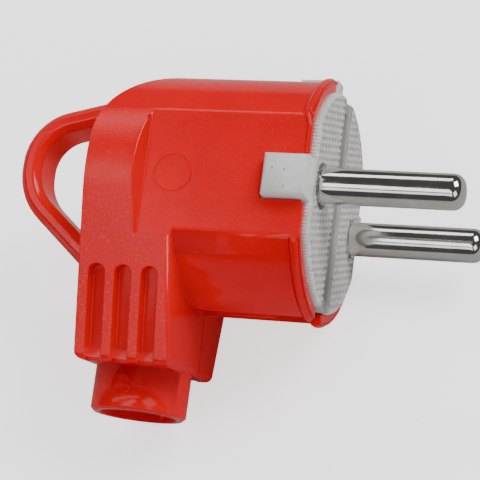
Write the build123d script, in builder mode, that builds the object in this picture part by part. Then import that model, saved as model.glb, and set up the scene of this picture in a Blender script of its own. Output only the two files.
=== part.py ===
"""Angled two pin mains plug: a red moulded housing with a pull loop round a ceramic insert.

The plug's own frame has X along the pins, Y away from the cable and Z across the pins,
with its origin in the middle of the ceramic's front. All sizes are in millimetres.
The finished pieces are turned about X at the end, so that the plug lies on one side of its neck.
"""
from build123d import *
from math import cos, radians, sin, sqrt, tan
import os

# Pins
pin_diameter = 4.8
pin_reach = 19.0
pin_spacing = 19.0
pin_line_turn = 7.0
pin_line_drop = 1.3
pin_tip_round = 1.6
pin_root_diameter = 5.15
pin_root_reach = 0.2
pin_flange_diameter = 7.0
pin_flange_thickness = 1.6
pin_post_diameter = 6.0
pin_post_length = 5.0

# Housing
pin_to_rim = 7.0
flat_inset = 2.05
flat_bottom = 9.2
rim_set_back = 0.9
step_back = 23.1
step_lean = 0.9
housing_back = 30.85
back_corner_radius = 12.2
near_side_slant = 14.0
far_side_slant = 18.0
pocket_clearance = 0.15
skirt_wall = 1.35
skirt_flat_wall = 1.2
barrel_wall = 2.8
wall = 2.4
bead_radius = 0.75
bead_stand = 0.6

# Neck and collar
neck_front = 17.5
neck_front_lean = 2.4
neck_near_bottom = 25.7
neck_far_bottom = 24.6
neck_bottom_round = 1.0
neck_edge_round = 0.7
neck_near_wall = 3.1
neck_far_wall = 3.3
collar_diameter = 13.15
collar_end = 31.3
collar_set_back = 0.35
collar_bore = 10.4
collar_edge = 0.45
groove_count = 3
groove_pitch = 3.7
groove_width = 2.25
groove_depth = 1.8
groove_top = 13.4

# Pull loop
strap_thickness = 3.0
strap_width = 7.0
strap_edge = 0.9
loop_reach = 44.7
loop_root_height = 11.9
loop_corner_height = 8.1
loop_lower_height = 1.35
loop_lower_slope = 40.2
loop_root_radius = 12.0
loop_upper_radius = 6.5
loop_lower_radius = 8.0

# Ceramic insert
insert_thickness = 13.0
insert_edge = 0.4
face_groove_width = 3.8
face_groove_depth = 8.0
face_groove_web = 1.8
web_set_back = 0.7
key_width = 2.6
key_length = 5.3
key_inset = 0.3
lug_height = 5.6
lug_centre = -0.55
lug_length = 6.0
lug_set_back = 0.4
lug_inset = 0.2
lug_bevel = 0.5
near_hole_diameter = 6.3
far_hole_diameter = 5.45

# Slots in the housing's rim
slot_clearance = 0.15
slot_end_gap = 0.5
slot_mouth_round = 0.7
top_slot_far_edge = 5.5
bottom_slot_near_edge = 1.8
bottom_slot_far_edge = 1.5
bottom_slot_length = 7.0
bottom_groove_depth = 0.6

# Terminals, backing plate and cable clamp
plate_thickness = 1.2
plate_clearance = 0.3
hole_clearance = 0.15
thread_diameter = 4.0
thread_length = 4.4
thread_hole_depth = 4.6
screw_head_diameter = 6.4
screw_head_height = 2.5
slot_width = 0.9
slot_depth = 1.2
terminal_plate_thickness = 0.9
terminal_plate_side = 5.6
clamp_to_wall = 5.5
clamp_spacing = 10.0
clamp_gap = 6.0
clamp_length = 14.6
clamp_width = 4.5
clamp_thickness = 1.5
clamp_thread_diameter = 3.0
clamp_head_diameter = 4.5
clamp_head_height = 2.0
clamp_nut_side = 5.0
clamp_spacer_width = 4.0
clamp_nut_thickness = 2.4
clamp_nut_depth = 5.0

# Places that follow from the sizes above
barrel_radius = pin_spacing / 2 + pin_to_rim
flat_distance = barrel_radius - flat_inset
cavity_radius = barrel_radius - barrel_wall
insert_radius = barrel_radius - skirt_wall - pocket_clearance
insert_flat = flat_distance - skirt_flat_wall - pocket_clearance
key_reach = barrel_radius - key_inset
lug_reach = barrel_radius - lug_inset
neck_middle = (housing_back + neck_front) / 2
collar_place = (-neck_middle - collar_set_back, 0)
cavity_back = housing_back - wall
flange_front = insert_thickness - pin_flange_thickness
plate_back = insert_thickness + plate_thickness
post_end = insert_thickness + pin_post_length
nut_front = insert_thickness - clamp_nut_thickness
clamp_height = cavity_radius - clamp_to_wall
clamp_places = [(-clamp_height, clamp_spacing / 2), (-clamp_height, -clamp_spacing / 2)]
clamp_front = plate_back + clamp_gap
clamp_back = clamp_front + clamp_thickness
outside = barrel_radius + bead_stand + 1
corner_x = back_corner_radius - housing_back
corner_y = barrel_radius - back_corner_radius
key_near = face_groove_width / 2 + key_width
slot_end = lug_set_back + lug_length + slot_end_gap
turn = radians(pin_line_turn)
near_slant = radians(near_side_slant)
far_slant = radians(far_side_slant)
hollow_bottom = neck_far_bottom - wall
lean = step_lean * (outside - flat_distance) / (barrel_radius - flat_distance)
near_pin = (pin_spacing / 2 * sin(turn) - pin_line_drop, pin_spacing / 2 * cos(turn))
far_pin = (-pin_spacing / 2 * sin(turn) - pin_line_drop, -pin_spacing / 2 * cos(turn))


def across(x):
    """Return the plane square to the pins at a distance x in front of the ceramic's face."""
    return Plane.YZ.offset(x)


def d_section(radius, flat):
    """Draw a circle with two sides cut flat, in the open sketch."""
    Circle(radius)
    Rectangle(2 * radius, 2 * flat, mode=Mode.INTERSECT)


def neck_width(y, slant):
    """Return how far a side of the neck that leaves the barrel at a slant is from the middle at y."""
    return (barrel_radius + y * sin(slant)) / cos(slant)


# Space behind the ceramic, rounded like the housing's back
with BuildPart() as rear_cavity:
    with BuildSketch(Plane.XY):
        with BuildLine():
            inner_radius = back_corner_radius - wall
            Line((-insert_thickness, -barrel_radius), (-cavity_back, -barrel_radius))
            Line((-cavity_back, -barrel_radius), (-cavity_back, corner_y))
            RadiusArc((-cavity_back, corner_y), (corner_x, corner_y + inner_radius), inner_radius)
            Line((corner_x, corner_y + inner_radius), (-insert_thickness, corner_y + inner_radius))
            Line((-insert_thickness, corner_y + inner_radius), (-insert_thickness, -barrel_radius))
        make_face()
    extrude(amount=barrel_radius, both=True)
    with BuildSketch(across(-housing_back)):
        d_section(cavity_radius, insert_flat + pocket_clearance)
    extrude(amount=housing_back, mode=Mode.INTERSECT)

# Housing: one moulding with barrel, neck, collar and loop
with BuildPart() as housing:
    # Rear block and neck: a round back whose sides run straight down into the neck
    with BuildSketch(across(-housing_back)):
        with BuildLine():
            CenterArc((0, 0), barrel_radius, -90 - far_side_slant, 180 + far_side_slant + near_side_slant)
            Polyline(
                (-barrel_radius * sin(near_slant), barrel_radius * cos(near_slant)),
                (-neck_near_bottom, neck_width(-neck_near_bottom, near_slant)),
                (-neck_far_bottom, -neck_width(-neck_far_bottom, far_slant)),
                (-barrel_radius * sin(far_slant), -barrel_radius * cos(far_slant)),
            )
        make_face()
    extrude(amount=housing_back - neck_front)
    lean_height = neck_near_bottom + barrel_radius
    with BuildSketch(Plane.XY):
        with BuildLine():
            Polyline(
                (-neck_front, -neck_near_bottom),
                (-neck_front + 1, -neck_near_bottom),
                (-neck_front + 1, barrel_radius),
                (-neck_front - lean_height * tan(radians(neck_front_lean)), barrel_radius),
                close=True,
            )
        make_face()
    extrude(amount=outside, both=True, mode=Mode.SUBTRACT)
    fillet(housing.faces().sort_by(Axis.Y)[0].edges(), neck_bottom_round)
    neck_face = housing.faces().filter_by(GeomType.PLANE).sort_by(Axis.X)[-1]
    front_edges = neck_face.edges().filter_by(GeomType.LINE)
    fillet(front_edges.sort_by(Axis.Y)[1:], neck_edge_round)
    # Barrel
    with BuildSketch(across(-housing_back)):
        Circle(barrel_radius)
    extrude(amount=housing_back - rim_set_back)
    # Bead round the rim
    with BuildSketch(Plane.XY):
        with Locations((-rim_set_back - bead_radius, barrel_radius + bead_stand - bead_radius)):
            RegularPolygon(bead_radius, 6, rotation=30)
    revolve(axis=Axis.X)
    # Flats with a leaning step at their rear end
    with BuildSketch(Plane.XZ.offset(flat_bottom)):
        with BuildLine():
            Polyline(
                (0, flat_distance),
                (-step_back, flat_distance),
                (-step_back - lean, outside),
                (0, outside),
                close=True,
            )
        make_face()
        mirror(about=Plane.XZ)
    extrude(amount=-flat_bottom - outside, mode=Mode.SUBTRACT)
    # Large corner at the top of the back
    with BuildSketch(Plane.XY):
        with BuildLine():
            RadiusArc((-housing_back, corner_y), (corner_x, barrel_radius), back_corner_radius)
            Line((corner_x, barrel_radius), (corner_x, outside))
            Line((corner_x, outside), (-housing_back - 1, outside))
            Line((-housing_back - 1, outside), (-housing_back - 1, corner_y))
            Line((-housing_back - 1, corner_y), (-housing_back, corner_y))
        make_face()
    extrude(amount=outside, both=True, mode=Mode.SUBTRACT)
    # Grip grooves on both sides of the neck
    groove_run = neck_near_bottom - groove_top + groove_width
    grip_y = -groove_top - groove_run / 2
    for side, slant in ((1, near_slant), (-1, far_slant)):
        grip_middle = (collar_place[0], grip_y, side * neck_width(grip_y, slant))
        with BuildSketch(Plane(grip_middle, x_dir=(1, 0, 0), z_dir=(0, -sin(slant), side * cos(slant)))):
            with GridLocations(groove_pitch, 1, groove_count, 1):
                SlotOverall(groove_run / cos(slant), groove_width, rotation=90)
        extrude(amount=-groove_depth, mode=Mode.SUBTRACT)
    # Collar
    with BuildSketch(Plane.XZ.offset(hollow_bottom)):
        with Locations(collar_place):
            Circle(collar_diameter / 2)
    extrude(amount=collar_end - hollow_bottom)
    chamfer(housing.faces().sort_by(Axis.Y)[0].edges(), collar_edge)
    # Pull loop
    with BuildLine(Plane.XY) as strap_path:
        loop_drop = (loop_reach - cavity_back) * tan(radians(loop_lower_slope))
        FilletPolyline(
            (corner_x - back_corner_radius / 2, loop_root_height),
            (-housing_back, loop_root_height),
            (-loop_reach, loop_corner_height),
            (-loop_reach, -loop_lower_height),
            (-cavity_back, -loop_lower_height - loop_drop),
            radius=(loop_root_radius, loop_upper_radius, loop_lower_radius),
        )
    with BuildSketch(Plane(strap_path.line @ 0, x_dir=(0, 0, 1), z_dir=strap_path.line % 0)):
        strap_section = Rectangle(strap_width, strap_thickness)
        chamfer(strap_section.vertices(), strap_edge)
    sweep(path=strap_path.line)
    # Inside: the space behind the ceramic, the ceramic's pocket, the neck and the collar's bore
    add(rear_cavity.part, mode=Mode.SUBTRACT)
    with BuildSketch(across(0)):
        d_section(insert_radius + pocket_clearance, insert_flat + pocket_clearance)
    extrude(amount=-insert_thickness, mode=Mode.SUBTRACT)
    with BuildSketch(Plane.XZ.offset(barrel_radius / 2)):
        with Locations(collar_place):
            Circle(collar_bore / 2)
    extrude(amount=collar_end, mode=Mode.SUBTRACT)
    hollow_near = neck_width(-hollow_bottom, near_slant) - neck_near_wall
    hollow_far = neck_width(-hollow_bottom, far_slant) - neck_far_wall
    with BuildSketch(Plane.XZ.offset(barrel_radius / 2)):
        with Locations((collar_place[0], (hollow_near - hollow_far) / 2)):
            Rectangle(collar_bore, hollow_near + hollow_far)
    extrude(amount=hollow_bottom - barrel_radius / 2, mode=Mode.SUBTRACT)
    # Slots at the rim for the ceramic's lugs and its key, and the open one at the bottom
    slot_top = lug_centre + lug_height / 2 + slot_clearance
    slot_bottom = lug_centre - lug_height / 2 - slot_clearance
    mouth_x = -rim_set_back
    mouth_y = slot_bottom - slot_mouth_round
    with BuildSketch(Plane.XY):
        with BuildLine():
            Line((0, mouth_y), (0, slot_top))
            Line((0, slot_top), (-slot_end, slot_top))
            Line((-slot_end, slot_top), (-slot_end, slot_bottom))
            Line((-slot_end, slot_bottom), (mouth_x - slot_mouth_round, slot_bottom))
            RadiusArc((mouth_x - slot_mouth_round, slot_bottom), (mouth_x, mouth_y), slot_mouth_round)
            Line((mouth_x, mouth_y), (0, mouth_y))
        make_face()
    extrude(amount=outside, both=True, mode=Mode.SUBTRACT)
    key_slot_end = web_set_back + key_length + slot_clearance
    with BuildSketch(Plane.XZ):
        with BuildLine():
            Polyline(
                (0, key_near + slot_clearance),
                (-key_slot_end, key_near + slot_clearance),
                (-key_slot_end, -top_slot_far_edge),
                (0, -top_slot_far_edge),
                close=True,
            )
        make_face()
    extrude(amount=-outside, mode=Mode.SUBTRACT)
    with BuildSketch(Plane.XZ):
        with BuildLine():
            Polyline(
                (0, bottom_slot_near_edge),
                (-bottom_slot_length, bottom_slot_near_edge),
                (-bottom_slot_length, -bottom_slot_far_edge),
                (0, -bottom_slot_far_edge),
                close=True,
            )
        make_face()
    extrude(amount=outside, mode=Mode.SUBTRACT)
    with BuildSketch(Plane.XZ.offset(barrel_radius - bottom_groove_depth)):
        with BuildLine():
            Polyline(
                (0, bottom_slot_near_edge),
                (-neck_front, bottom_slot_near_edge),
                (-neck_front, -bottom_slot_far_edge),
                (0, -bottom_slot_far_edge),
                close=True,
            )
        make_face()
    extrude(amount=2, mode=Mode.SUBTRACT)

# Ceramic insert with its face groove, key, lugs and holes
with BuildPart() as ceramic_insert:
    with BuildSketch(across(0)):
        d_section(insert_radius, insert_flat)
    extrude(amount=-insert_thickness)
    chamfer(ceramic_insert.faces().sort_by(Axis.X)[-1].edges(), insert_edge)
    # Lugs on the flats
    with BuildSketch(Plane.XY):
        with Locations((-lug_set_back - lug_length / 2, lug_centre)):
            Rectangle(lug_length, lug_height)
    extrude(amount=lug_reach, both=True)
    for lug_end in (ceramic_insert.faces().sort_by(Axis.Z)[-1], ceramic_insert.faces().sort_by(Axis.Z)[0]):
        chamfer(lug_end.edges(), lug_bevel)
    # Key at the top
    with BuildSketch(Plane.XZ):
        with BuildLine():
            Polyline(
                (-web_set_back, face_groove_width / 2),
                (-web_set_back, key_near),
                (-web_set_back - key_length, key_near),
                (-web_set_back - key_length, face_groove_width / 2),
                close=True,
            )
        make_face()
    extrude(amount=-key_reach)
    # Face groove, shallow at its two ends where a web closes it
    with BuildSketch(across(0)):
        Rectangle(2 * insert_radius, face_groove_width)
    extrude(amount=-web_set_back, mode=Mode.SUBTRACT)
    with BuildSketch(across(0)):
        Rectangle(2 * (insert_radius - face_groove_web), face_groove_width)
    extrude(amount=-face_groove_depth, mode=Mode.SUBTRACT)
    # Pin holes, with a counterbore behind for the flange
    for place, hole_diameter in ((near_pin, near_hole_diameter), (far_pin, far_hole_diameter)):
        with BuildSketch(across(0)):
            with Locations(place):
                Circle(hole_diameter / 2)
        extrude(amount=-insert_thickness, mode=Mode.SUBTRACT)
        with BuildSketch(across(-insert_thickness)):
            with Locations(place):
                Circle(pin_flange_diameter / 2 + hole_clearance)
        extrude(amount=pin_flange_thickness, mode=Mode.SUBTRACT)
    # Pockets for the clamp's square nuts
    with BuildSketch(across(-insert_thickness)):
        with Locations(clamp_places):
            Rectangle(clamp_nut_side + 2 * hole_clearance, clamp_nut_side + 2 * hole_clearance)
    extrude(amount=clamp_nut_depth, mode=Mode.SUBTRACT)

# Insulating plate behind the ceramic, which holds the pins' flanges
with BuildPart() as backing_plate:
    with BuildSketch(across(-insert_thickness)):
        d_section(cavity_radius - plate_clearance, insert_flat + pocket_clearance - plate_clearance)
        with Locations(near_pin, far_pin):
            Circle(pin_post_diameter / 2 + hole_clearance, mode=Mode.SUBTRACT)
        with Locations(clamp_places):
            Circle(clamp_thread_diameter / 2 + hole_clearance, mode=Mode.SUBTRACT)
    extrude(amount=-plate_thickness)

# Pins: round shank, flange and a tapped post for the terminal screw
def pin_at(place):
    """Build one pin with its axis through the given place on the face."""
    y, z = place
    shank = pin_diameter / 2
    tip_step = pin_tip_round * (1 - sqrt(0.5))
    root = pin_root_diameter / 2
    flange = pin_flange_diameter / 2
    post = pin_post_diameter / 2
    with BuildPart() as pin:
        with BuildSketch(Plane((0, y, z))):
            with BuildLine():
                Line((-post_end, 0), (pin_reach, 0))
                Line((pin_reach, 0), (pin_reach, shank - pin_tip_round))
                Line((pin_reach, shank - pin_tip_round), (pin_reach - tip_step, shank - tip_step))
                Line((pin_reach - tip_step, shank - tip_step), (pin_reach - pin_tip_round, shank))
                Line((pin_reach - pin_tip_round, shank), (pin_root_reach, shank))
                Line((pin_root_reach, shank), (pin_root_reach, root))
                Line((pin_root_reach, root), (-flange_front, root))
                Line((-flange_front, root), (-flange_front, flange))
                Line((-flange_front, flange), (-insert_thickness, flange))
                Line((-insert_thickness, flange), (-insert_thickness, post))
                Line((-insert_thickness, post), (-post_end, post))
                Line((-post_end, post), (-post_end, 0))
            make_face()
        revolve(axis=Axis((0, y, z), (1, 0, 0)))
        with BuildSketch(across(-post_end)):
            with Locations(place):
                Circle(thread_diameter / 2)
        extrude(amount=thread_hole_depth, mode=Mode.SUBTRACT)
    return pin


pin_near = pin_at(near_pin)
pin_far = pin_at(far_pin)

# Square clamping plates under the heads of the terminal screws
with BuildPart() as terminal_plates:
    with BuildSketch(across(-post_end)):
        with Locations(near_pin, far_pin):
            Rectangle(terminal_plate_side, terminal_plate_side)
            Circle(thread_diameter / 2, mode=Mode.SUBTRACT)
    extrude(amount=-terminal_plate_thickness)

# Slotted screws in the ends of the pins
with BuildPart() as terminal_screws:
    with BuildSketch(across(-post_end - terminal_plate_thickness)):
        with Locations(near_pin, far_pin):
            Circle(screw_head_diameter / 2)
    extrude(amount=-screw_head_height)
    with BuildSketch(across(-post_end - terminal_plate_thickness)):
        with Locations(near_pin, far_pin):
            Circle(thread_diameter / 2)
    extrude(amount=terminal_plate_thickness + thread_length)
    with BuildSketch(across(-post_end - terminal_plate_thickness - screw_head_height)):
        with Locations(near_pin, far_pin):
            Rectangle(screw_head_diameter, slot_width)
    extrude(amount=slot_depth, mode=Mode.SUBTRACT)

# Cable clamp: square nuts in the ceramic, spacers, a bar and two screws
with BuildPart() as clamp_nuts:
    with BuildSketch(across(-nut_front)):
        with Locations(clamp_places):
            Rectangle(clamp_nut_side, clamp_nut_side)
            Circle(clamp_thread_diameter / 2, mode=Mode.SUBTRACT)
    extrude(amount=-clamp_nut_thickness)

with BuildPart() as clamp_spacers:
    with BuildSketch(across(-plate_back)):
        with Locations(clamp_places):
            RegularPolygon(clamp_spacer_width / 2, 6, major_radius=False)
            Circle(clamp_thread_diameter / 2, mode=Mode.SUBTRACT)
    extrude(amount=-clamp_gap)

with BuildPart() as cable_clamp:
    with BuildSketch(across(-clamp_front)):
        with Locations((-clamp_height, 0)):
            SlotOverall(clamp_length, clamp_width, rotation=90)
        with Locations(clamp_places):
            Circle(clamp_thread_diameter / 2, mode=Mode.SUBTRACT)
    extrude(amount=-clamp_thickness)

with BuildPart() as clamp_screws:
    with BuildSketch(across(-clamp_back)):
        with Locations(clamp_places):
            Circle(clamp_head_diameter / 2)
    extrude(amount=-clamp_head_height)
    with BuildSketch(across(-clamp_back)):
        with Locations(clamp_places):
            Circle(clamp_thread_diameter / 2)
    extrude(amount=clamp_back - insert_thickness + clamp_nut_depth)
    with BuildSketch(across(-clamp_back - clamp_head_height)):
        with Locations(clamp_places):
            Rectangle(clamp_head_diameter, slot_width)
    extrude(amount=slot_depth, mode=Mode.SUBTRACT)

# Turn every piece so that the plug lies on the far side of its neck, and save it
pieces = {
    "housing": housing,
    "ceramic_insert": ceramic_insert,
    "backing_plate": backing_plate,
    "pin_near": pin_near,
    "pin_far": pin_far,
    "terminal_plates": terminal_plates,
    "terminal_screws": terminal_screws,
    "clamp_nuts": clamp_nuts,
    "clamp_spacers": clamp_spacers,
    "cable_clamp": cable_clamp,
    "clamp_screws": clamp_screws,
}
os.makedirs("parts", exist_ok=True)
for name, piece in pieces.items():
    turned = piece.part.rotate(Axis.X, far_side_slant)
    turned.label = name
    export_step(turned, f"parts/{name}.step")
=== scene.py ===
"""Dressed model of an angled mains plug: finishes, fine relief, studio and camera.

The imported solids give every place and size. Lengths in the classes are millimetres in the
plug's own frame, with X along the pins, Y away from the cable and Z across the pins, and
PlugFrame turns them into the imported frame, where the plug lies on one side of its neck.
"""
import logging
import math
from dataclasses import dataclass, field
from enum import Enum
from typing import Callable, Iterable, Sequence

import bmesh
import bpy
from mathutils import Matrix, Vector, noise


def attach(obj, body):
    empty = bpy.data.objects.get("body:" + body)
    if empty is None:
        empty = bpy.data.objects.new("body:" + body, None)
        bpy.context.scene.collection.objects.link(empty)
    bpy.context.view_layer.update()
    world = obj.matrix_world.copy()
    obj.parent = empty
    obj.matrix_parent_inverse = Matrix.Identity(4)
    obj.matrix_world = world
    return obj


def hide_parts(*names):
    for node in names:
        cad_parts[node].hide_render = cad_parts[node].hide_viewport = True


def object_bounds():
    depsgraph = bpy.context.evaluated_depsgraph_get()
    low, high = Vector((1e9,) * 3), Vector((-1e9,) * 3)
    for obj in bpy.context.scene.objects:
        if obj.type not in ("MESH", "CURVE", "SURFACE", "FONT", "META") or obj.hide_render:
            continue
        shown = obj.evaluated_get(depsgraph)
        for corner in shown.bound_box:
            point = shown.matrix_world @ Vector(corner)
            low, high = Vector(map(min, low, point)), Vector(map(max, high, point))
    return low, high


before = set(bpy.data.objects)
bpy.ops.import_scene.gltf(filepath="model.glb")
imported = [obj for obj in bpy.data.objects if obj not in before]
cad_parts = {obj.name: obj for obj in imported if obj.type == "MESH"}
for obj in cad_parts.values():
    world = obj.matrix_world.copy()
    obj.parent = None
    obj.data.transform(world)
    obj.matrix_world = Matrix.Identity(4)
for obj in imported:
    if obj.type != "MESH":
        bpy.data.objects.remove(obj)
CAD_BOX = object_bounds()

LOG = logging.getLogger("plug")
MM = 0.001
Profile = Sequence[tuple[float, float]]
Colour = tuple[float, float, float]


class Slot(Enum):
    """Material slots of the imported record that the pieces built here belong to."""

    HOUSING = "housing"
    CERAMIC = "ceramic"
    PINS = "pins"


@dataclass(frozen=True)
class PlugFrame:
    """The plug's own frame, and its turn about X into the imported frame."""

    lie_degrees: float = 18.0

    def matrix(self) -> Matrix:
        """Return the turn from the plug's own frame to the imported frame."""
        return Matrix.Rotation(math.radians(self.lie_degrees), 3, "X")

    def point(self, x: float, y: float, z: float) -> Vector:
        """Place a point of the plug's own frame, in millimetres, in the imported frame.

        Args:
            x: Distance along the pins.
            y: Distance away from the cable.
            z: Distance across the pins.

        Returns:
            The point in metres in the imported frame.
        """
        return self.matrix() @ (Vector((x, y, z)) * MM)

    def direction(self, x: float, y: float, z: float) -> Vector:
        """Turn a direction of the plug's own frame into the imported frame."""
        return self.matrix() @ Vector((x, y, z))

    def own(self, place: Vector) -> Vector:
        """Return a packed point in the plug's own frame, in millimetres."""
        return self.matrix().transposed() @ place / MM


PLUG = PlugFrame()


class NodeTree:
    """Short calls for building shader nodes and their links.

    MIX_INPUTS and MIX_OUTPUT are the places of the factor, the two colours and the mixed colour
    among the mix node's sockets.
    """

    MIX_INPUTS = (0, 6, 7)
    MIX_OUTPUT = 2

    def __init__(self, tree: bpy.types.NodeTree) -> None:
        """Wrap a shader node tree."""
        self.tree = tree

    def node(self, kind: str, inputs: dict | None = None, **options: object) -> bpy.types.Node:
        """Add a node, set its options and fill or link its inputs.

        Args:
            kind: Blender's name of the node type.
            inputs: Input names or indices with values or output sockets.
            options: Attributes of the node.

        Returns:
            The new node.
        """
        made = self.tree.nodes.new(kind)
        for name, value in options.items():
            setattr(made, name, value)
        for name, value in (inputs or {}).items():
            if isinstance(value, bpy.types.NodeSocket):
                self.tree.links.new(value, made.inputs[name])
            else:
                made.inputs[name].default_value = value
        return made

    def noise(self, vector: object, scale: float, detail: float = 3.0, rough: float = 0.5) -> object:
        """Add a noise texture and return its value output."""
        inputs = {"Vector": vector, "Scale": scale, "Detail": detail, "Roughness": rough}
        return self.node("ShaderNodeTexNoise", inputs).outputs[0]

    def ramp(self, value: object, low: float, high: float, start: float = 0.0, end: float = 1.0) -> object:
        """Map a range of values smoothly to another.

        Args:
            value: Output socket of the value.
            low: Value that gives start.
            high: Value that gives end.
            start: Result at low and below it.
            end: Result at high and above it.

        Returns:
            The output socket of the result.
        """
        inputs = {0: value, 1: low, 2: high, 3: start, 4: end}
        made = self.node("ShaderNodeMapRange", inputs, interpolation_type="SMOOTHSTEP")
        return made.outputs[0]

    def maths(self, what: str, first: object, second: object = 0.0) -> object:
        """Add a math node and return its output."""
        return self.node("ShaderNodeMath", {0: first, 1: second}, operation=what).outputs[0]

    def mix(self, share: object, first: object, second: object) -> object:
        """Mix two colours.

        Args:
            share: Share of the second colour, as a number or an output socket.
            first: Colour or output socket at share 0.
            second: Colour or output socket at share 1.

        Returns:
            The output socket of the mixed colour.
        """
        made = self.node("ShaderNodeMix", data_type="RGBA")
        for index, value in zip(self.MIX_INPUTS, (share, first, second)):
            if isinstance(value, bpy.types.NodeSocket):
                self.tree.links.new(value, made.inputs[index])
            else:
                made.inputs[index].default_value = value if index == 0 else (*value[:3], 1.0)
        return made.outputs[self.MIX_OUTPUT]

    def bump(self, height: object, strength: float, distance: float, normal: object = None) -> object:
        """Add a bump node.

        Args:
            height: Output socket of the height.
            strength: Strength of the bump.
            distance: Depth of the relief in metres.
            normal: Output socket of the normal that the bump lies on, if it isn't the surface's own.

        Returns:
            The output socket of the bumped normal.
        """
        inputs = {"Height": height, "Strength": strength, "Distance": distance}
        if normal is not None:
            inputs["Normal"] = normal
        return self.node("ShaderNodeBump", inputs).outputs[0]


class Effects:
    """Shader node groups that more than one finish uses."""

    @staticmethod
    def _group(name: str, inputs: dict[str, float], outputs: Iterable[str]) -> bpy.types.NodeTree:
        """Make an empty group with float inputs and outputs.

        Args:
            name: Name of the group.
            inputs: Input names with their default values.
            outputs: Output names.

        Returns:
            The group, with its input and output nodes named In and Out.
        """
        group = bpy.data.node_groups.new(name, "ShaderNodeTree")
        for label, value in inputs.items():
            socket = group.interface.new_socket(label, in_out="INPUT", socket_type="NodeSocketFloat")
            socket.default_value = value
        for label in outputs:
            group.interface.new_socket(label, in_out="OUTPUT", socket_type="NodeSocketFloat")
        group.nodes.new("NodeGroupInput").name = "In"
        group.nodes.new("NodeGroupOutput").name = "Out"
        return group

    @classmethod
    def mottle(cls) -> bpy.types.NodeTree:
        """Find or build the group that gives broad and fine uneven tone over a surface.

        Returns:
            The group, with outputs Broad and Fine.
        """
        found = bpy.data.node_groups.get("surface_mottle")
        if found:
            return found
        group = cls._group("surface_mottle", {"Broad Scale": 60.0, "Fine Scale": 900.0}, ("Broad", "Fine"))
        tree = NodeTree(group)
        place = tree.node("ShaderNodeTexCoord").outputs["Object"]
        source, target = group.nodes["In"], group.nodes["Out"]
        for index in (0, 1):
            value = tree.noise(place, source.outputs[index], 4.0, 0.6)
            group.links.new(value, target.inputs[index])
        return group

    @classmethod
    def specks(cls) -> bpy.types.NodeTree:
        """Find or build the group that gives a mask of scattered small specks.

        Returns:
            The group, with output Mask.
        """
        found = bpy.data.node_groups.get("scattered_specks")
        if found:
            return found
        group = cls._group("scattered_specks", {"Scale": 700.0, "Size": 0.12, "Share": 0.7}, ("Mask",))
        tree = NodeTree(group)
        place = tree.node("ShaderNodeTexCoord").outputs["Object"]
        source, target = group.nodes["In"], group.nodes["Out"]
        cells = tree.node("ShaderNodeTexVoronoi", {"Vector": place, "Scale": source.outputs["Scale"]})
        dot = tree.maths("LESS_THAN", cells.outputs["Distance"], source.outputs["Size"])
        spread = tree.node("ShaderNodeSeparateColor", {0: cells.outputs["Color"]}).outputs[0]
        chosen = tree.maths("GREATER_THAN", spread, source.outputs["Share"])
        group.links.new(tree.maths("MULTIPLY", dot, chosen), target.inputs[0])
        return group

    @staticmethod
    def place(tree: NodeTree, group: bpy.types.NodeTree, **values: float) -> bpy.types.Node:
        """Put a group in a material with its own values.

        Args:
            tree: The material's node tree.
            group: The shared group.
            values: Input values, with spaces in the names written as underscores.

        Returns:
            The group node.
        """
        made = tree.tree.nodes.new("ShaderNodeGroup")
        made.node_tree = group
        for name, value in values.items():
            made.inputs[name.replace("_", " ")].default_value = value
        return made


class Finish:
    """Base of the finishes: makes a material and its Principled shader once."""

    name: str

    def material(self) -> bpy.types.Material:
        """Find the finish's material, or build it at its first use.

        Returns:
            The material.
        """
        found = bpy.data.materials.get(self.name)
        if found:
            return found
        made = bpy.data.materials.new(self.name)
        made.use_nodes = True
        self.dress(NodeTree(made.node_tree), made.node_tree.nodes["Principled BSDF"])
        return made

    def dress(self, tree: NodeTree, shader: bpy.types.Node) -> None:
        """Build the finish's nodes round its shader."""
        raise NotImplementedError


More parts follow.
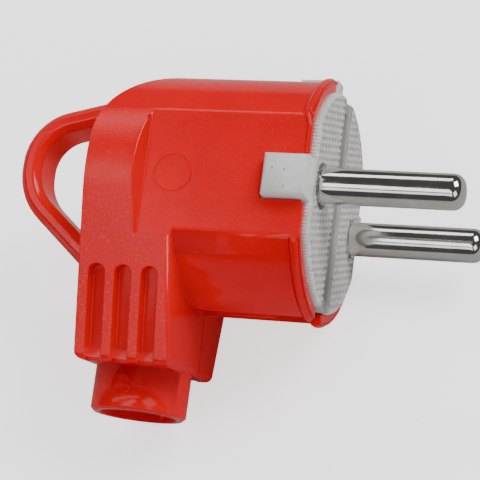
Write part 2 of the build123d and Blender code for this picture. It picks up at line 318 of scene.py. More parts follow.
@dataclass(frozen=True)
class MouldedRed(Finish):
    """Glossy red soft plastic, with the mould's spark grain where the faces' grain value asks for it.

    The grain pits the skin, and pale painted glints, standing in for highlights, are mixed into its colour
    there.
    """

    name: str = "moulded_red_plastic"
    bright: Colour = (0.88, 0.0005, 0.0075)
    deep: Colour = (0.80, 0.0004, 0.0060)
    dust: Colour = (0.95, 0.40, 0.34)
    dust_share: float = 0.25
    # Painted glints: a pale colour mixed into the base colour where the skin is grained, standing in for
    # highlights.
    painted_glint_colour: Colour = (1.0, 0.12, 0.11)
    painted_glint_share: float = 0.4
    gloss: float = 0.10
    refraction: float = 1.46
    specular: float = 0.3
    glow: float = 0.1
    glow_reach: tuple[float, float, float] = (0.0022, 0.0003, 0.0002)

    def dress(self, tree: NodeTree, shader: bpy.types.Node) -> None:
        """Build the red skin: uneven tone, orange peel, spark grain, painted glints and a little dust.

        Args:
            tree: The material's node tree.
            shader: Its Principled shader.
        """
        link = tree.tree.links.new
        mottle = Effects.place(tree, Effects.mottle(), Broad_Scale=90.0, Fine_Scale=3400.0)
        specks = Effects.place(tree, Effects.specks(), Scale=900.0, Size=0.1, Share=0.95)
        tone = tree.ramp(mottle.outputs["Broad"], 0.35, 0.65)
        colour = tree.mix(tone, self.deep, self.bright)
        dusting = tree.maths("MULTIPLY", specks.outputs[0], self.dust_share)
        dusty = tree.mix(dusting, colour, self.dust)
        grained = tree.node("ShaderNodeAttribute", attribute_name="grain").outputs["Fac"]
        # Painted glints: pale spots in the base colour where the grain is, standing in for sparkle
        # highlights.
        painted_glint_mask = tree.maths("MULTIPLY", tree.ramp(mottle.outputs["Fine"], 0.53, 0.68), grained)
        painted_glint_amount = tree.maths("MULTIPLY", painted_glint_mask, self.painted_glint_share)
        link(tree.mix(painted_glint_amount, dusty, self.painted_glint_colour), shader.inputs["Base Color"])
        rough = tree.ramp(mottle.outputs["Fine"], 0.3, 0.7, self.gloss - 0.03, self.gloss + 0.05)
        link(rough, shader.inputs["Roughness"])
        place = tree.node("ShaderNodeTexCoord").outputs["Object"]
        peel = tree.bump(tree.noise(place, 260.0, 2.0, 0.5), 0.12, 0.0001)
        pitted = tree.maths("MULTIPLY", mottle.outputs["Fine"], grained)
        link(tree.bump(pitted, 1.0, 0.00005, peel), shader.inputs["Normal"])
        shader.inputs["IOR"].default_value = self.refraction
        shader.inputs["Specular IOR Level"].default_value = self.specular
        shader.inputs["Subsurface Weight"].default_value = self.glow
        shader.inputs["Subsurface Radius"].default_value = self.glow_reach
        shader.inputs["Subsurface Scale"].default_value = 1.0


@dataclass(frozen=True)
class FiredCeramic(Finish):
    """Unglazed light grey steatite with brown iron specks, and painted shade where its hollow value is
    high.
    """

    name: str = "fired_grey_ceramic"
    pale: Colour = (0.86, 0.86, 0.84)
    shade: Colour = (0.73, 0.73, 0.71)
    # Painted shade: a dark grey mixed in where the hollow value is high.
    hollow_shade_colour: Colour = (0.16, 0.155, 0.145)
    hollow_shade_share: float = 0.85
    iron: Colour = (0.30, 0.22, 0.15)
    iron_share: float = 0.8
    glow: float = 0.05
    glow_reach: tuple[float, float, float] = (0.0006, 0.0006, 0.0005)

    def dress(self, tree: NodeTree, shader: bpy.types.Node) -> None:
        """Build the fired skin: cloudy grey, painted shade in its hollows, iron specks and a dry fine
        grain.

        Args:
            tree: The material's node tree.
            shader: Its Principled shader.
        """
        link = tree.tree.links.new
        mottle = Effects.place(tree, Effects.mottle(), Broad_Scale=420.0, Fine_Scale=2600.0)
        specks = Effects.place(tree, Effects.specks(), Scale=620.0, Size=0.11, Share=0.84)
        cloud = tree.mix(tree.ramp(mottle.outputs["Broad"], 0.3, 0.7), self.shade, self.pale)
        # Painted shade: the hollow value darkens the colour in the weave's valleys, the groove and the
        # holes.
        hollow = tree.node("ShaderNodeAttribute", attribute_name="hollow").outputs["Fac"]
        hollow_shaded = tree.mix(tree.maths("MULTIPLY", hollow, self.hollow_shade_share), cloud, self.hollow_shade_colour)
        spotted = tree.mix(tree.maths("MULTIPLY", specks.outputs[0], self.iron_share), hollow_shaded, self.iron)
        link(spotted, shader.inputs["Base Color"])
        link(tree.ramp(mottle.outputs["Fine"], 0.3, 0.7, 0.5, 0.72), shader.inputs["Roughness"])
        link(tree.bump(mottle.outputs["Fine"], 0.5, 0.00005), shader.inputs["Normal"])
        shader.inputs["Subsurface Weight"].default_value = self.glow
        shader.inputs["Subsurface Radius"].default_value = self.glow_reach
        shader.inputs["Subsurface Scale"].default_value = 1.0


@dataclass(frozen=True)
class Metal(Finish):
    """A plated or turned metal with fine marks round its axis."""

    name: str
    base: Colour
    tint: Colour
    gloss: float
    marks: float = 0.15

    def dress(self, tree: NodeTree, shader: bpy.types.Node) -> None:
        """Build the metal: slightly uneven tone and roughness, and fine turning marks.

        Args:
            tree: The material's node tree.
            shader: Its Principled shader.
        """
        link = tree.tree.links.new
        mottle = Effects.place(tree, Effects.mottle(), Broad_Scale=260.0, Fine_Scale=3200.0)
        tone = tree.ramp(mottle.outputs["Broad"], 0.35, 0.7)
        link(tree.mix(tone, self.base, self.tint), shader.inputs["Base Color"])
        rough = tree.ramp(mottle.outputs["Broad"], 0.3, 0.75, self.gloss * 0.8, self.gloss * 1.4)
        link(rough, shader.inputs["Roughness"])
        place = tree.node("ShaderNodeTexCoord").outputs["Object"]
        along = tree.node("ShaderNodeMapping", {"Vector": place, "Scale": (9.0, 0.6, 0.6)}).outputs[0]
        turned = tree.bump(tree.noise(along, 900.0, 2.0, 0.6), self.marks, 0.00001)
        link(turned, shader.inputs["Normal"])
        shader.inputs["Metallic"].default_value = 1.0


@dataclass(frozen=True)
class Board(Finish):
    """Brown pressed insulating board with short fibres."""

    name: str = "brown_insulating_board"
    light: Colour = (0.36, 0.22, 0.11)
    dark: Colour = (0.22, 0.12, 0.055)

    def dress(self, tree: NodeTree, shader: bpy.types.Node) -> None:
        """Build the board: fibres as stretched noise in its colour and relief.

        Args:
            tree: The material's node tree.
            shader: Its Principled shader.
        """
        link = tree.tree.links.new
        place = tree.node("ShaderNodeTexCoord").outputs["Object"]
        stretched = tree.node("ShaderNodeMapping", {"Vector": place, "Scale": (1.0, 4.0, 0.5)}).outputs[0]
        fibre = tree.noise(stretched, 700.0, 5.0, 0.65)
        link(tree.mix(tree.ramp(fibre, 0.35, 0.65), self.dark, self.light), shader.inputs["Base Color"])
        link(tree.ramp(fibre, 0.3, 0.7, 0.55, 0.75), shader.inputs["Roughness"])
        link(tree.bump(fibre, 0.3, 0.00004), shader.inputs["Normal"])


@dataclass(frozen=True)
class PaleFloor(Finish):
    """Plain pale studio floor, brighter to the camera and darker in its mirror images on the plug."""

    name: str = "pale_studio_floor"
    tone: Colour = (0.93, 0.93, 0.93)
    unevenness: float = 0.985
    lift: float = 1.4
    mirrored: float = 0.45

    def dress(self, tree: NodeTree, shader: bpy.types.Node) -> None:
        """Build a matt floor whose tone changes very slightly, and tell its rays apart.

        Args:
            tree: The material's node tree.
            shader: Its Principled shader.
        """
        link = tree.tree.links.new
        place = tree.node("ShaderNodeTexCoord").outputs["Object"]
        tone = tree.ramp(tree.noise(place, 3.0), 0.2, 0.8)
        darker = tuple(channel * self.unevenness for channel in self.tone)
        rays = tree.node("ShaderNodeLightPath").outputs
        mirrored = tuple(channel * self.mirrored for channel in self.tone)
        pale = tree.mix(tone, darker, self.tone)
        link(tree.mix(rays["Is Glossy Ray"], pale, mirrored), shader.inputs["Base Color"])
        shader.inputs["Roughness"].default_value = 0.9
        shader.inputs["Emission Color"].default_value = (1.0, 1.0, 1.0, 1.0)
        link(tree.maths("MULTIPLY", rays["Is Camera Ray"], self.lift), shader.inputs["Emission Strength"])


RED = MouldedRed()
CERAMIC = FiredCeramic()
NICKEL = Metal("nickel_plating", (0.70, 0.67, 0.63), (0.78, 0.76, 0.73), 0.11, 0.1)
BRASS = Metal("turned_brass", (0.72, 0.50, 0.20), (0.80, 0.60, 0.28), 0.28, 0.3)
STEEL = Metal("zinc_plated_steel", (0.52, 0.53, 0.54), (0.62, 0.62, 0.62), 0.32, 0.3)
BOARD = Board()


class Maker:
    """Mesh helpers shared by the sub-assemblies.

    Corners nearer than JOIN_DISTANCE, in metres, are joined, and faces that meet within
    FLAT_ANGLE degrees of flat become one.
    """

    JOIN_DISTANCE = 2e-7
    FLAT_ANGLE = 0.6

    @staticmethod
    def add(name: str, mesh: bpy.types.Mesh, finish: Finish, slot: Slot, *nodes: str) -> bpy.types.Object:
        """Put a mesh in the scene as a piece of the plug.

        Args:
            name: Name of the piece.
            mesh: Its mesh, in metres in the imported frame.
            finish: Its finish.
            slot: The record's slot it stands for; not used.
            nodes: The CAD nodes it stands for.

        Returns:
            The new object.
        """
        piece = bpy.data.objects.new(name, mesh)
        bpy.context.scene.collection.objects.link(piece)
        piece.data.materials.clear()
        piece.data.materials.append(finish.material())
        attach(piece, "root")
        if nodes:
            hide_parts(*nodes)
        LOG.info("%s: %d faces", name, len(mesh.polygons))
        return piece

    @classmethod
    def carried(cls, name: str) -> bmesh.types.BMesh:
        """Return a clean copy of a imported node's mesh, joined at its shared corners.

        Args:
            name: Name of the CAD node.

        Returns:
            The copy, with its flat areas made of single faces.
        """
        copy = bmesh.new()
        copy.from_mesh(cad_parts[name].data)
        bmesh.ops.remove_doubles(copy, verts=copy.verts, dist=cls.JOIN_DISTANCE)
        flat = math.radians(cls.FLAT_ANGLE)
        bmesh.ops.dissolve_limit(
            copy, angle_limit=flat, verts=copy.verts, edges=copy.edges, delimit={"NORMAL"}
        )
        return copy

    @staticmethod
    def weigh_edges(
        build: bmesh.types.BMesh, share: Callable[[Vector, Vector], float], angle: float = 26.0
    ) -> None:
        """Mark how far each sharp edge is to be rounded.

        Args:
            build: The bmesh whose edges are marked.
            share: Gives the share of the full width from an edge's two ends in the plug's own frame.
            angle: Edges sharper than this many degrees are rounded.
        """
        weights = build.edges.layers.float.new("bevel_weight_edge")
        for edge in build.edges:
            if len(edge.link_faces) == 2 and edge.calc_face_angle(0.0) > math.radians(angle):
                edge[weights] = share(*(PLUG.own(vert.co) for vert in edge.verts))

    @staticmethod
    def soften(piece: bpy.types.Object, width: float, segments: int = 3) -> None:
        """Round a piece's marked edges and smooth its shading.

        Args:
            piece: The piece.
            width: Full width of the rounding in millimetres.
            segments: Steps across each rounding.
        """
        for polygon in piece.data.polygons:
            polygon.use_smooth = True
        bevel = piece.modifiers.new("edge_round", "BEVEL")
        bevel.width = width * MM
        bevel.segments = segments
        bevel.limit_method = "WEIGHT"
        bevel.use_clamp_overlap = False
        bevel.miter_outer = "MITER_ARC"
        weighted = piece.modifiers.new("flat_shading", "WEIGHTED_NORMAL")
        weighted.mode = "FACE_AREA"
        weighted.weight = 80
        weighted.keep_sharp = True

    @staticmethod
    def finish_mesh(build: bmesh.types.BMesh, name: str, smooth: bool = True) -> bpy.types.Mesh:
        """Turn a bmesh into a mesh with outward normals.

        Args:
            build: The bmesh, freed afterwards.
            name: Name of the mesh.
            smooth: Whether its faces shade smoothly.

        Returns:
            The mesh.
        """
        bmesh.ops.recalc_face_normals(build, faces=build.faces)
        mesh = bpy.data.meshes.new(name)
        build.to_mesh(mesh)
        build.free()
        for polygon in mesh.polygons:
            polygon.use_smooth = smooth
        return mesh

    @staticmethod
    def lathe(profile: Profile, place: tuple[float, float], steps: int = 96) -> bmesh.types.BMesh:
        """Turn a profile about a line parallel to the pins.

        Args:
            profile: Points as distance along X and radius, in millimetres, from axis to axis.
            place: The line's Y and Z in the plug's own frame.
            steps: Steps round the line.

        Returns:
            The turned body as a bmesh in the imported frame.
        """
        build = bmesh.new()
        rings = []
        for x, radius in profile:
            if radius < 1e-6:
                rings.append([build.verts.new(PLUG.point(x, *place))])
                continue
            ring = []
            for step in range(steps):
                turn = 2 * math.pi * step / steps
                y = place[0] + radius * math.cos(turn)
                z = place[1] + radius * math.sin(turn)
                ring.append(build.verts.new(PLUG.point(x, y, z)))
            rings.append(ring)
        for first, second in zip(rings, rings[1:]):
            for step in range(steps):
                after = (step + 1) % steps
                if len(first) == 1:
                    build.faces.new((first[0], second[step], second[after]))
                elif len(second) == 1:
                    build.faces.new((first[step], second[0], first[after]))
                else:
                    build.faces.new((first[step], second[step], second[after], first[after]))
        return build

    @staticmethod
    def tube(
        build: bmesh.types.BMesh, path: Sequence[Vector], radii: Sequence[float], sides: int = 8
    ) -> None:
        """Add a closed-ended round strand along a path.

        Args:
            build: The bmesh to add it to.
            path: Points of its middle line, in millimetres in the plug's own frame.
            radii: Its radius at each point.
            sides: Sides of its section.
        """
        rings = []
        side = None
        for index, middle in enumerate(path):
            ahead = path[min(index + 1, len(path) - 1)] - path[max(index - 1, 0)]
            ahead.normalize()
            if side is None:
                side = ahead.orthogonal()
            side = (side - ahead * side.dot(ahead)).normalized()
            other = ahead.cross(side)
            ring = []
            for step in range(sides):
                turn = 2 * math.pi * step / sides
                offset = (side * math.cos(turn) + other * math.sin(turn)) * radii[index]
                ring.append(build.verts.new(PLUG.point(*(middle + offset))))
            rings.append(ring)
        for first, second in zip(rings, rings[1:]):
            for step in range(sides):
                after = (step + 1) % sides
                build.faces.new((first[step], second[step], second[after], first[after]))
        build.faces.new(rings[0])
        build.faces.new(rings[-1])


@dataclass
class Housing:
    """The red moulding: barrel, neck, collar and pull loop in one piece.

    The corner and collar sizes bound the places whose edges stay sharp, and the last four fields
    are how strongly the faces there carry the spark grain and its painted glints.
    """

    edge_round: float = 0.36
    fine_share: float = 0.6
    radius: float = 16.5
    flat_distance: float = 14.45
    flat_bottom: float = 9.2
    flat_front: float = -1.5
    flat_margin: float = 0.2
    border_margin: float = 0.25
    block_front: float = -22.9
    block_back: float = -31.2
    block_depth: float = 4.0
    neck_front: float = 17.5
    neck_front_lean: float = 2.4
    neck_bottom: float = 25.7
    near_slant: float = 14.0
    far_slant: float = 18.0
    corner_span: tuple[float, float] = (2.4, 0.8)
    corner_height: float = 1.4
    corner_side: float = 12.5
    collar_radius: float = 6.575
    collar_axis: float = -24.525
    collar_top: float = -15.0
    collar_margin: float = 0.6
    groove_floor: float = 0.7
    neck_grain: float = 1.0
    block_grain: float = 0.8
    flat_grain: float = 0.45
    round_grain: float = 0.1

    def neck_width(self, y: float, slant: float) -> float:
        """Return how far a side of the neck is from the middle at a height y."""
        turn = math.radians(slant)
        return (self.radius + y * math.sin(turn)) / math.cos(turn)

    def build(self) -> bpy.types.Object:
        """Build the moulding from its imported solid, with rounded edges and grained flats.

        Returns:
            The housing's shell.
        """
        build = Maker.carried("housing")
        grain = build.faces.layers.float.new("grain")
        turned = PLUG.matrix().transposed()
        for face in build.faces:
            face[grain] = self.grain(PLUG.own(face.calc_center_median()), turned @ face.normal)
        build.normal_update()
        Maker.weigh_edges(build, self.edge_share)
        mesh = Maker.finish_mesh(build, "housing_shell")
        piece = Maker.add("housing_shell", mesh, RED, Slot.HOUSING, "housing")
        Maker.soften(piece, self.edge_round)
        return piece

    def stays_sharp(self, end: Vector) -> bool:
        """Say whether the edges that end at a point stay as the CAD has them.

        Args:
            end: The point in the plug's own frame, in millimetres.

        Returns:
            True round the collar and at the top corners of the neck's front.
        """
        from_axis = math.hypot(end.x - self.collar_axis, end.z)
        if end.y < self.collar_top and from_axis < self.collar_radius + self.collar_margin:
            return True
        back, front = self.corner_span
        corner = abs(end.y + self.flat_bottom) < self.corner_height and abs(end.z) > self.corner_side
        return corner and -self.neck_front - back < end.x < -self.neck_front + front

    def edge_share(self, first: Vector, second: Vector) -> float:
        """Return the share of the full rounding that an edge gets.

        The edges beside the flats get all of it, most others a finer share, and some none.

        Args:
            first: One end of the edge in the plug's own frame, in millimetres.
            second: Its other end.

        Returns:
            The share, from 0 to 1.
        """
        if self.stays_sharp(first) or self.stays_sharp(second):
            return 0.0
        height = math.sqrt(self.radius**2 - self.flat_distance**2)
        for end in (first, second):
            off_flat = abs(abs(end.z) - self.flat_distance)
            off_border = min(abs(abs(end.y) - height), abs(end.y + self.flat_bottom))
            away = off_flat > self.flat_margin or off_border > self.border_margin
            if away or end.x > self.flat_front:
                return self.fine_share
        return 1.0

    def grain(self, middle: Vector, normal: Vector) -> float:
        """Return how strongly a face carries the mould's spark grain and its painted glints.

        Args:
            middle: The face's middle in the plug's own frame, in millimetres.
            normal: The face's normal in that frame.

        Returns:
            A share from 0 for polished to 1 for fully grained.
        """
        slant = self.near_slant if middle.z > 0 else self.far_slant
        sunk = self.neck_width(middle.y, slant) - abs(middle.z) > self.groove_floor
        if middle.y < -self.flat_bottom and abs(normal.z) > 0.9 and not sunk:
            return self.neck_grain
        outer = abs(middle.z) > self.flat_distance - self.block_depth
        block = self.block_back < middle.x < self.block_front and outer
        if block and abs(normal.x) < 0.6 and middle.y > -self.flat_bottom:
            return self.block_grain
        if abs(abs(middle.z) - self.flat_distance) < 0.1 and abs(normal.z) > 0.99:
            return self.flat_grain
        return self.round_grain


@dataclass
class MouldMarks:
    """The fine marks of the housing's mould, and the small shapes in its grooves and its bore."""

    housing: Housing
    embed: float = 0.01
    flat_ring_middle: tuple[float, float] = (-19.1, -0.55)
    flat_ring_radius: float = 2.55
    flat_ring_strand: float = 0.10
    collar_ring_turn: float = -6.6
    collar_ring_level: float = -28.15
    collar_ring_radius: float = 1.42
    collar_ring_strand: float = 0.08
    seam_foot: float = -24.9
    seam_side: float = -2.6
    seam_strand: float = 0.045
    groove_pitch: float = 3.7
    groove_width: float = 2.25
    groove_depth: float = 1.8
    toe_rise: float = 1.3
    toe_depth: float = 0.8
    toe_lift_near: float = 0.25
    toe_lift_far: float = 1.1
    rib_offset: float = 1.75
    rib_foot: float = -30.9
    rib_side: float = -4.95
    rib_strand: float = 0.42

    def build(self) -> None:
        """Build all marks and small shapes."""
        self.flat_ring()
        self.collar_ring()
        self.parting_line()
        self.groove_toes()
        self.bore_rib()

    def flat_ring(self, steps: int = 64) -> bpy.types.Object:
        """Build the fine ring that the mould's ejector pin leaves on the near flat.

        Args:
            steps: Steps round the ring.

        Returns:
            The ring.
        """
        middle_x, middle_y = self.flat_ring_middle
        path = []
        for step in range(steps + 1):
            turn = 2 * math.pi * step / steps
            x = middle_x + self.flat_ring_radius * math.cos(turn)
            y = middle_y + self.flat_ring_radius * math.sin(turn)
            path.append(Vector((x, y, self.housing.flat_distance - self.embed)))
        return self.red_strand("flat_ejector_ring", path, self.flat_ring_strand)

    def collar_ring(self, steps: int = 48) -> bpy.types.Object:
        """Build the smaller ejector ring that wraps round the collar's near side.

        Args:
            steps: Steps round the ring.

        Returns:
            The ring.
        """
        collar = self.housing.collar_radius
        path = []
        for step in range(steps + 1):
            turn = 2 * math.pi * step / steps
            bend = math.radians(self.collar_ring_turn) + self.collar_ring_radius * math.cos(turn) / collar
            x = self.housing.collar_axis + collar * math.sin(bend)
            y = self.collar_ring_level + self.collar_ring_radius * math.sin(turn)
            path.append(Vector((x, y, collar * math.cos(bend))))
        return self.red_strand("collar_ejector_ring", path, self.collar_ring_strand)

    def parting_line(self, points: int = 17, pitch: float = 0.5) -> bpy.types.Object:
        """Build the faint seam of the mould down the neck's front.

        Args:
            points: Number of points along the seam.
            pitch: Their distance in millimetres.

        Returns:
            The seam.
        """
        lean = math.tan(math.radians(self.housing.neck_front_lean))
        path = []
        for step in range(points):
            y = self.seam_foot + step * pitch
            x = -self.housing.neck_front - (y + self.housing.neck_bottom) * lean
            path.append(Vector((x, y, self.seam_side)))
        return self.red_strand("neck_parting_line", path, self.seam_strand)

    @staticmethod
    def red_strand(name: str, path: Sequence[Vector], radius: float) -> bpy.types.Object:
        """Add one even red strand as a piece of the housing.

        Args:
            name: Name of the piece.
            path: Points of its middle line in the plug's own frame, in millimetres.
            radius: Its radius in millimetres.

        Returns:
            The new piece.
        """
        build = bmesh.new()
        Maker.tube(build, path, [radius] * len(path))
        return Maker.add(name, Maker.finish_mesh(build, name), RED, Slot.HOUSING)

    def groove_toes(self) -> bpy.types.Object:
        """Build the short ramps that close the lower ends of the grip grooves.

        Returns:
            All the ramps as one piece.
        """
        build = bmesh.new()
        near = (1, self.housing.near_slant, self.toe_lift_near)
        far = (-1, self.housing.far_slant, self.toe_lift_far)
        for side, slant, lift in (near, far):
            for index in (-1, 0, 1):
                middle = self.housing.collar_axis + index * self.groove_pitch
                self.toe(build, side, slant, middle, self.housing.neck_bottom - lift)
        mesh = Maker.finish_mesh(build, "groove_toes", smooth=False)
        return Maker.add("groove_toes", mesh, RED, Slot.HOUSING)

    def toe(self, build: bmesh.types.BMesh, side: int, slant: float, middle: float, low: float) -> None:
        """Add one ramp: a wedge on a groove's floor, thickest at the groove's lower end.

        Args:
            build: The bmesh to add it to.
            side: 1 for the near side, -1 for the far one.
            slant: Slant of that side in degrees.
            middle: The groove's middle along X.
            low: How far the groove's lower end is below the barrel's axis.
        """
        turn = math.radians(slant)
        half = self.groove_width / 2 - self.embed
        floor = self.groove_depth
        section = ((self.toe_rise - low, floor), (-low, self.toe_depth), (-low, floor))
        corners = []
        for x in (middle - half, middle + half):
            for y, depth in section:
                outer = Vector((x, y, side * self.housing.neck_width(y, slant)))
                inward = Vector((0, math.sin(turn), -side * math.cos(turn))) * depth
                corners.append(build.verts.new(PLUG.point(*(outer + inward))))
        near, far = corners[:3], corners[3:]
        build.faces.new(near)
        build.faces.new(far)
        for first, second in ((0, 1), (1, 2), (2, 0)):
            build.faces.new((near[first], near[second], far[second], far[first]))

    def bore_rib(self, points: int = 8, pitch: float = 0.7) -> bpy.types.Object:
        """Build the small rib inside the collar that holds the cable's sheath.

        Args:
            points: Number of points along the rib.
            pitch: Their distance in millimetres.

        Returns:
            The rib.
        """
        x = self.housing.collar_axis + self.rib_offset
        path = [Vector((x, self.rib_foot + step * pitch, self.rib_side)) for step in range(points)]
        return self.red_strand("collar_bore_rib", path, self.rib_strand)


@dataclass
class RimBead:
    """The soft bead of red round the rim, thick on the rounds and thin along the flats."""

    place_x: float = -1.65
    ring_radius: float = 16.35
    bead: float = 0.70
    lip: float = 0.36
    flat_distance: float = 14.45
    near_start: float = 17.6
    far_start: float = 20.4
    round_end: float = 61.0
    round_steps: int = 34
    fade_steps: int = 16
    round_inset: float = 0.1
    round_lump: float = 0.05
    tip_shares: tuple[float, float] = (0.72, 0.93)
    lip_steps: int = 14
    lip_pitch: float = 0.37
    lip_inset: float = 0.12
    lip_lean: float = 0.12
    lip_shift: float = 0.45
    lip_lump: float = 0.03
    sides: int = 14

    def build(self) -> None:
        """Build the upper beads of both sides, each running into its flat's lip."""
        self.strand("rim_bead_near", 1, self.near_start)
        self.strand("rim_bead_far", -1, self.far_start)

    def strand(self, name: str, side: int, start: float) -> bpy.types.Object:
        """Build one lumpy bead from the key's slot down to the lug's slot.

        Args:
            name: Name of the piece.
            side: 1 for the near side, -1 for the far one.
            start: Angle of its first point from the top, in degrees.

        Returns:
            The new piece.
        """
        path, radii = [], []
        steps = self.round_steps
        for step in range(steps + 1):
            turn = math.radians(start + (self.round_end - start) * step / steps)
            y = self.ring_radius * math.cos(turn)
            z = min(self.ring_radius * math.sin(turn), self.flat_distance - self.round_inset)
            path.append(Vector((self.place_x, y, side * z)))
            lump = self.round_lump * noise.noise(Vector((step * 0.55, side * 3.0, 0.0)))
            fade = min(1.0, (steps - step) / self.fade_steps)
            radii.append(self.lip + (self.bead - self.lip) * fade + lump)
        for index, share in enumerate(self.tip_shares):
            radii[index] *= share
        for step in range(1, self.lip_steps + 1):
            x = self.place_x + min(self.lip_shift, step * self.lip_lean)
            y = path[steps].y - step * self.lip_pitch
            path.append(Vector((x, y, side * (self.flat_distance - self.lip_inset))))
            radii.append(self.lip + self.lip_lump * noise.noise(Vector((step * 0.8, 9.0, side))))
        build = bmesh.new()
        Maker.tube(build, path, radii, self.sides)
        return Maker.add(name, Maker.finish_mesh(build, name), RED, Slot.HOUSING)


@dataclass
class Insert:
    """The grey ceramic insert with woven relief on its face.

    Its vertices' hollow value, which darkens the finish as painted shade, is the share of the weave's full
    depth on the face, groove_shade in the groove across the face, and 1 further in.
    """

    grid: float = 0.19
    radius: float = 15.0
    flat: float = 13.1
    core: float = 12.9
    lug: tuple[float, float] = (-3.5, 2.4)
    key: tuple[float, float] = (1.9, 4.6)
    key_margin: float = 0.2
    gap_half: float = 1.95
    groove_shade: float = 0.75
    inside: float = -1.0
    cell_across: float = 1.42
    cell_along: float = 0.94
    weave_lean: float = 0.42
    weave_sway: float = 0.10
    weave_power: float = 0.8
    relief: float = 0.33
    unevenness: float = 0.2
    sharp_angle: float = 38.0
    ridge_pitch: float = 0.46
    ridge_foot: float = -1.7
    ridge_bend: float = -0.55
    ridge_tip: float = -0.28
    ridge_lean: float = 0.993
    ridge_radii: tuple[float, float, float] = (0.13, 0.13, 0.05)
    lump_pitch: float = 0.94
    lump_radius: float = 0.30
    lump_spread: float = 0.07
    lump_x: float = -0.31
    lump_lean: float = 0.979

    def build(self) -> None:
        """Build the insert and the bristly edge round its face."""
        self.block()
        self.ridges()
        self.lumps()

    def block(self) -> bpy.types.Object:
        """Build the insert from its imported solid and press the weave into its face.

        Returns:
            The insert's block.
        """
        build = Maker.carried("ceramic_insert")
        hollow = build.verts.layers.float.new("hollow")
        front = [
            face
            for face in build.faces
            if face.normal.x > 0.999 and abs(face.calc_center_median().x) < 0.02 * MM
        ]
        boundary = {vert for face in front for vert in face.verts}
        for axis in (PLUG.direction(0, 1, 0), PLUG.direction(0, 0, 1)):
            front = self.slice(build, front, axis)
        # Painted shade: vertices in the groove and further inside get a hollow value that darkens them.
        for vert in build.verts:
            own = PLUG.own(vert.co)
            deep = own.x < self.inside
            if abs(own.z) < self.gap_half or (deep and math.hypot(own.y, own.z) < self.core):
                vert[hollow] = 1.0 if deep else self.groove_shade
        # Painted shade: the weave's valleys darken with their depth.
        for vert in {vert for face in front for vert in face.verts} - boundary:
            depth = self.depth(PLUG.own(vert.co))
            vert[hollow] = min(1.0, depth / self.relief)
            if all(abs(face.normal.x) > 0.9 for face in vert.link_faces):
                vert.co.x -= depth * MM
        mesh = Maker.finish_mesh(build, "insert_block")
        piece = Maker.add("insert_block", mesh, CERAMIC, Slot.CERAMIC, "ceramic_insert")
        mesh.set_sharp_from_angle(angle=math.radians(self.sharp_angle))
        return piece

    def outline(self, pitch: float) -> list[tuple[float, float]]:
        """Return points along the insert's edge, without those at its lugs, key and groove.

        Args:
            pitch: Distance between the points in millimetres.

        Returns:
            The points as Y and Z in the plug's own frame.
        """
        corner = math.sqrt(self.radius**2 - self.flat**2)
        bend = math.asin(corner / self.radius)
        points = []
        for side in (1, -1):
            count = int(2 * corner / pitch)
            for step in range(count):
                y = -corner + (step + 0.5) * 2 * corner / count
                if not self.lug[0] < y < self.lug[1]:
                    points.append((y, side * self.flat))
        sweep = math.pi - 2 * bend
        count = int(self.radius * sweep / pitch)
        for end in (0.0, math.pi):
            for step in range(count):
                turn = end + (step + 0.5 - count / 2) * sweep / count
                y, z = self.radius * math.cos(turn), self.radius * math.sin(turn)
                keyed = y > 0 and self.key[0] - self.key_margin < z < self.key[1] + self.key_margin
                if abs(z) > self.gap_half and not keyed:
                    points.append((y, z))
        return points

    def ridges(self) -> bpy.types.Object:
        """Build the fine ridges along the insert's side, each of its own length.

        Returns:
            All the ridges as one piece.
        """
        build = bmesh.new()
        lean = self.ridge_lean
        for index, (y, z) in enumerate(self.outline(self.ridge_pitch)):
            length = 0.35 + 0.25 * noise.noise(Vector((index * 0.7, 1.3, 0.0)))
            tip = Vector((self.ridge_tip + 0.3 * length, y * lean, z * lean))
            path = [Vector((self.ridge_foot, y, z)), Vector((self.ridge_bend, y, z)), tip]
            Maker.tube(build, path, self.ridge_radii, 5)
        mesh = Maker.finish_mesh(build, "edge_ridges")
        return Maker.add("insert_edge_ridges", mesh, CERAMIC, Slot.CERAMIC)

    def lumps(self) -> bpy.types.Object:
        """Build the small lumps along the edge of the insert's face.

        Returns:
            All the lumps as one piece.
        """
        build = bmesh.new()
        lean = self.lump_lean
        for index, (y, z) in enumerate(self.outline(self.lump_pitch)):
            size = self.lump_radius + self.lump_spread * noise.noise(Vector((index * 1.1, 5.0, 0.0)))
            place = Matrix.Translation(PLUG.point(self.lump_x, y * lean, z * lean))
            bmesh.ops.create_icosphere(build, subdivisions=2, radius=size * MM, matrix=place)
        mesh = Maker.finish_mesh(build, "edge_lumps")
        return Maker.add("insert_edge_lumps", mesh, CERAMIC, Slot.CERAMIC)

    def slice(self, build: bmesh.types.BMesh, faces: list, axis: Vector) -> list:
        """Cut faces into strips square to an axis.

        Args:
            build: The bmesh that holds the faces.
            faces: The faces to cut.
            axis: The direction across the strips.

        Returns:
            The faces after the cuts.
        """
        count = int(self.radius / self.grid) + 1
        for step in range(-count, count + 1):
            geometry = set(faces)
            for face in faces:
                geometry.update(face.edges)
                geometry.update(face.verts)
            place = axis * (step * self.grid * MM)
            cut = bmesh.ops.bisect_plane(
                build, geom=list(geometry), plane_co=place, plane_no=axis, dist=1e-8
            )
            faces = [part for part in cut["geom"] if isinstance(part, bmesh.types.BMFace)]
        return faces

    def depth(self, own: Vector) -> float:
        """Return how deep the woven relief lies at a point of the face.

        Args:
            own: The point in the plug's own frame, in millimetres.

        Returns:
            The depth below the face in millimetres.
        """
        across = own.z / self.cell_across + self.weave_sway * math.sin(own.y * 0.9)
        along = own.y / self.cell_along + self.weave_lean * own.z / self.cell_across
        lens = 0.5 + 0.25 * (math.cos(2 * math.pi * across) + math.cos(2 * math.pi * along))
        uneven = self.unevenness * noise.noise(own * 0.9)
        return self.relief * (1 - lens**self.weave_power) * (1 + uneven)


